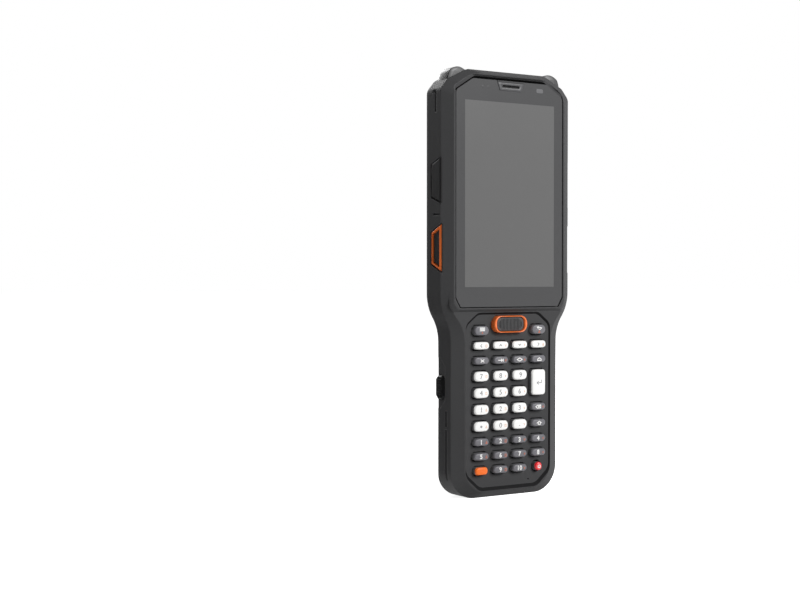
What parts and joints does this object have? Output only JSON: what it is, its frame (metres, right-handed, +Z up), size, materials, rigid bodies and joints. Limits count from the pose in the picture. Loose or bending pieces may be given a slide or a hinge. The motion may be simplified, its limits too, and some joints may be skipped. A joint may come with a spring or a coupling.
{
  "type": "handheld barcode data terminal",
  "caption": "Rugged handheld barcode data terminal with a display head, a physical keypad grip, side scan triggers, a scanner hump and a clip-on battery pack.",
  "frame": {"origin": "middle of the footprint of the whole terminal standing upright, on the surface it stands on", "axes": "+X to the right of someone who faces the display, -Y out of the display, +Z up from the keypad to the scanner"},
  "size_m": [0.075, 0.0334, 0.2026],
  "materials": {
    "housing": "moulded, fine texture",
    "glass": "polished cover glass",
    "display_unit": "satin",
    "silicone": "matte",
    "circuit_board": "solder mask",
    "module_metal": "die cast",
    "dark_window": "polished",
    "module_black": "moulded",
    "contact_metal": "gold plated",
    "bumper": "moulded rubber",
    "screw_steel": "black oxide",
    "orange_trim": "moulded, satin",
    "control_black": "moulded, satin",
    "key_white": "moulded, satin",
    "key_grey": "moulded, satin",
    "key_orange": "moulded, satin",
    "key_red": "moulded, satin"
  },
  "bodies": {
    "terminal": {"front_housing": "housing", "rear_housing": "housing", "display_glass": "glass", "lcd_module": "display_unit", "keypad_membrane": "silicone", "main_board": "circuit_board", "scan_engine": "module_metal", "scan_window": "dark_window", "camera_window": "dark_window", "speakers": "module_black", "dock_contacts": "contact_metal", "corner_bumpers": "bumper", "housing_screws": "screw_steel", "trigger_bezels": "orange_trim", "scan_key_bezel": "orange_trim"},
    "battery_pack": {"battery_pack": "housing"},
    "right_battery_latch": {"right_battery_latch": "control_black"},
    "left_battery_latch": {"left_battery_latch": "control_black"},
    "right_trigger": {"right_trigger": "control_black"},
    "left_trigger": {"left_trigger": "control_black"},
    "volume_rocker": {"volume_rocker": "control_black"},
    "function_key": {"function_key": "control_black"},
    "scan_key": {"scan_key": "control_black"},
    "key_menu": {"key_menu": "key_grey"},
    "key_back": {"key_back": "key_grey"},
    "key_left": {"key_left": "key_white"},
    "key_up": {"key_up": "key_white"},
    "key_down": {"key_down": "key_white"},
    "key_right": {"key_right": "key_white"},
    "key_esc": {"key_esc": "key_grey"},
    "key_tab": {"key_tab": "key_grey"},
    "key_alt": {"key_alt": "key_grey"},
    "key_ctrl": {"key_ctrl": "key_grey"},
    "key_7": {"key_7": "key_white"},
    "key_8": {"key_8": "key_white"},
    "key_9": {"key_9": "key_white"},
    "key_enter": {"key_enter": "key_white"},
    "key_4": {"key_4": "key_white"},
    "key_5": {"key_5": "key_white"},
    "key_6": {"key_6": "key_white"},
    "key_1": {"key_1": "key_white"},
    "key_2": {"key_2": "key_white"},
    "key_3": {"key_3": "key_white"},
    "key_backspace": {"key_backspace": "key_grey"},
    "key_star": {"key_star": "key_white"},
    "key_0": {"key_0": "key_white"},
    "key_point": {"key_point": "key_white"},
    "key_shift": {"key_shift": "key_grey"},
    "key_f1": {"key_f1": "key_grey"},
    "key_f2": {"key_f2": "key_grey"},
    "key_f3": {"key_f3": "key_grey"},
    "key_f4": {"key_f4": "key_grey"},
    "key_f5": {"key_f5": "key_grey"},
    "key_f6": {"key_f6": "key_grey"},
    "key_f7": {"key_f7": "key_grey"},
    "key_f8": {"key_f8": "key_grey"},
    "key_fn": {"key_fn": "key_orange"},
    "key_f9": {"key_f9": "key_grey"},
    "key_f10": {"key_f10": "key_grey"},
    "key_power": {"key_power": "key_red"}
  },
  "joints": [
    {"name": "battery_lift", "type": "slide", "parent": "terminal", "child": "battery_pack", "axis": [0, 1, 0], "range_m": [0, 0.024]},
    {"name": "right_latch_squeeze", "type": "slide", "parent": "terminal", "child": "right_battery_latch", "axis": [-1, 0, 0], "range_m": [0, 0.001], "stiffness_N_per_m": 1500},
    {"name": "left_latch_squeeze", "type": "slide", "parent": "terminal", "child": "left_battery_latch", "axis": [1, 0, 0], "range_m": [0, 0.001], "stiffness_N_per_m": 1500},
    {"name": "right_trigger_press", "type": "slide", "parent": "terminal", "child": "right_trigger", "axis": [-1, 0, 0], "range_m": [0, 0.001], "stiffness_N_per_m": 1500},
    {"name": "left_trigger_press", "type": "slide", "parent": "terminal", "child": "left_trigger", "axis": [1, 0, 0], "range_m": [0, 0.001], "stiffness_N_per_m": 1500},
    {"name": "volume_rock", "type": "hinge", "parent": "terminal", "child": "volume_rocker", "pos_m": [-0.034, -0.008, 0.1493], "axis": [0, 1, 0], "range_deg": [-2, 2], "stiffness_Nm_per_rad": 0.5},
    {"name": "function_press", "type": "slide", "parent": "terminal", "child": "function_key", "axis": [-1, 0, 0], "range_m": [0, 0.0008], "stiffness_N_per_m": 1500},
    {"name": "scan_press", "type": "slide", "parent": "terminal", "child": "scan_key", "axis": [0, 1, 0], "range_m": [0, 0.0008], "stiffness_N_per_m": 1000},
    {"name": "menu_press", "type": "slide", "parent": "terminal", "child": "key_menu", "axis": [0, 1, 0], "range_m": [0, 0.0008], "stiffness_N_per_m": 1000},
    {"name": "back_press", "type": "slide", "parent": "terminal", "child": "key_back", "axis": [0, 1, 0], "range_m": [0, 0.0008], "stiffness_N_per_m": 1000},
    {"name": "left_press", "type": "slide", "parent": "terminal", "child": "key_left", "axis": [0, 1, 0], "range_m": [0, 0.0008], "stiffness_N_per_m": 1000},
    {"name": "up_press", "type": "slide", "parent": "terminal", "child": "key_up", "axis": [0, 1, 0], "range_m": [0, 0.0008], "stiffness_N_per_m": 1000},
    {"name": "down_press", "type": "slide", "parent": "terminal", "child": "key_down", "axis": [0, 1, 0], "range_m": [0, 0.0008], "stiffness_N_per_m": 1000},
    {"name": "right_press", "type": "slide", "parent": "terminal", "child": "key_right", "axis": [0, 1, 0], "range_m": [0, 0.0008], "stiffness_N_per_m": 1000},
    {"name": "esc_press", "type": "slide", "parent": "terminal", "child": "key_esc", "axis": [0, 1, 0], "range_m": [0, 0.0008], "stiffness_N_per_m": 1000},
    {"name": "tab_press", "type": "slide", "parent": "terminal", "child": "key_tab", "axis": [0, 1, 0], "range_m": [0, 0.0008], "stiffness_N_per_m": 1000},
    {"name": "alt_press", "type": "slide", "parent": "terminal", "child": "key_alt", "axis": [0, 1, 0], "range_m": [0, 0.0008], "stiffness_N_per_m": 1000},
    {"name": "ctrl_press", "type": "slide", "parent": "terminal", "child": "key_ctrl", "axis": [0, 1, 0], "range_m": [0, 0.0008], "stiffness_N_per_m": 1000},
    {"name": "7_press", "type": "slide", "parent": "terminal", "child": "key_7", "axis": [0, 1, 0], "range_m": [0, 0.0008], "stiffness_N_per_m": 1000},
    {"name": "8_press", "type": "slide", "parent": "terminal", "child": "key_8", "axis": [0, 1, 0], "range_m": [0, 0.0008], "stiffness_N_per_m": 1000},
    {"name": "9_press", "type": "slide", "parent": "terminal", "child": "key_9", "axis": [0, 1, 0], "range_m": [0, 0.0008], "stiffness_N_per_m": 1000},
    {"name": "enter_press", "type": "slide", "parent": "terminal", "child": "key_enter", "axis": [0, 1, 0], "range_m": [0, 0.0008], "stiffness_N_per_m": 1000},
    {"name": "4_press", "type": "slide", "parent": "terminal", "child": "key_4", "axis": [0, 1, 0], "range_m": [0, 0.0008], "stiffness_N_per_m": 1000},
    {"name": "5_press", "type": "slide", "parent": "terminal", "child": "key_5", "axis": [0, 1, 0], "range_m": [0, 0.0008], "stiffness_N_per_m": 1000},
    {"name": "6_press", "type": "slide", "parent": "terminal", "child": "key_6", "axis": [0, 1, 0], "range_m": [0, 0.0008], "stiffness_N_per_m": 1000},
    {"name": "1_press", "type": "slide", "parent": "terminal", "child": "key_1", "axis": [0, 1, 0], "range_m": [0, 0.0008], "stiffness_N_per_m": 1000},
    {"name": "2_press", "type": "slide", "parent": "terminal", "child": "key_2", "axis": [0, 1, 0], "range_m": [0, 0.0008], "stiffness_N_per_m": 1000},
    {"name": "3_press", "type": "slide", "parent": "terminal", "child": "key_3", "axis": [0, 1, 0], "range_m": [0, 0.0008], "stiffness_N_per_m": 1000},
    {"name": "backspace_press", "type": "slide", "parent": "terminal", "child": "key_backspace", "axis": [0, 1, 0], "range_m": [0, 0.0008], "stiffness_N_per_m": 1000},
    {"name": "star_press", "type": "slide", "parent": "terminal", "child": "key_star", "axis": [0, 1, 0], "range_m": [0, 0.0008], "stiffness_N_per_m": 1000},
    {"name": "0_press", "type": "slide", "parent": "terminal", "child": "key_0", "axis": [0, 1, 0], "range_m": [0, 0.0008], "stiffness_N_per_m": 1000},
    {"name": "point_press", "type": "slide", "parent": "terminal", "child": "key_point", "axis": [0, 1, 0], "range_m": [0, 0.0008], "stiffness_N_per_m": 1000},
    {"name": "shift_press", "type": "slide", "parent": "terminal", "child": "key_shift", "axis": [0, 1, 0], "range_m": [0, 0.0008], "stiffness_N_per_m": 1000},
    {"name": "f1_press", "type": "slide", "parent": "terminal", "child": "key_f1", "axis": [0, 1, 0], "range_m": [0, 0.0008], "stiffness_N_per_m": 1000},
    {"name": "f2_press", "type": "slide", "parent": "terminal", "child": "key_f2", "axis": [0, 1, 0], "range_m": [0, 0.0008], "stiffness_N_per_m": 1000},
    {"name": "f3_press", "type": "slide", "parent": "terminal", "child": "key_f3", "axis": [0, 1, 0], "range_m": [0, 0.0008], "stiffness_N_per_m": 1000},
    {"name": "f4_press", "type": "slide", "parent": "terminal", "child": "key_f4", "axis": [0, 1, 0], "range_m": [0, 0.0008], "stiffness_N_per_m": 1000},
    {"name": "f5_press", "type": "slide", "parent": "terminal", "child": "key_f5", "axis": [0, 1, 0], "range_m": [0, 0.0008], "stiffness_N_per_m": 1000},
    {"name": "f6_press", "type": "slide", "parent": "terminal", "child": "key_f6", "axis": [0, 1, 0], "range_m": [0, 0.0008], "stiffness_N_per_m": 1000},
    {"name": "f7_press", "type": "slide", "parent": "terminal", "child": "key_f7", "axis": [0, 1, 0], "range_m": [0, 0.0008], "stiffness_N_per_m": 1000},
    {"name": "f8_press", "type": "slide", "parent": "terminal", "child": "key_f8", "axis": [0, 1, 0], "range_m": [0, 0.0008], "stiffness_N_per_m": 1000},
    {"name": "fn_press", "type": "slide", "parent": "terminal", "child": "key_fn", "axis": [0, 1, 0], "range_m": [0, 0.0008], "stiffness_N_per_m": 1000},
    {"name": "f9_press", "type": "slide", "parent": "terminal", "child": "key_f9", "axis": [0, 1, 0], "range_m": [0, 0.0008], "stiffness_N_per_m": 1000},
    {"name": "f10_press", "type": "slide", "parent": "terminal", "child": "key_f10", "axis": [0, 1, 0], "range_m": [0, 0.0008], "stiffness_N_per_m": 1000},
    {"name": "power_press", "type": "slide", "parent": "terminal", "child": "key_power", "axis": [0, 1, 0], "range_m": [0, 0.0008], "stiffness_N_per_m": 1000}
  ]
}
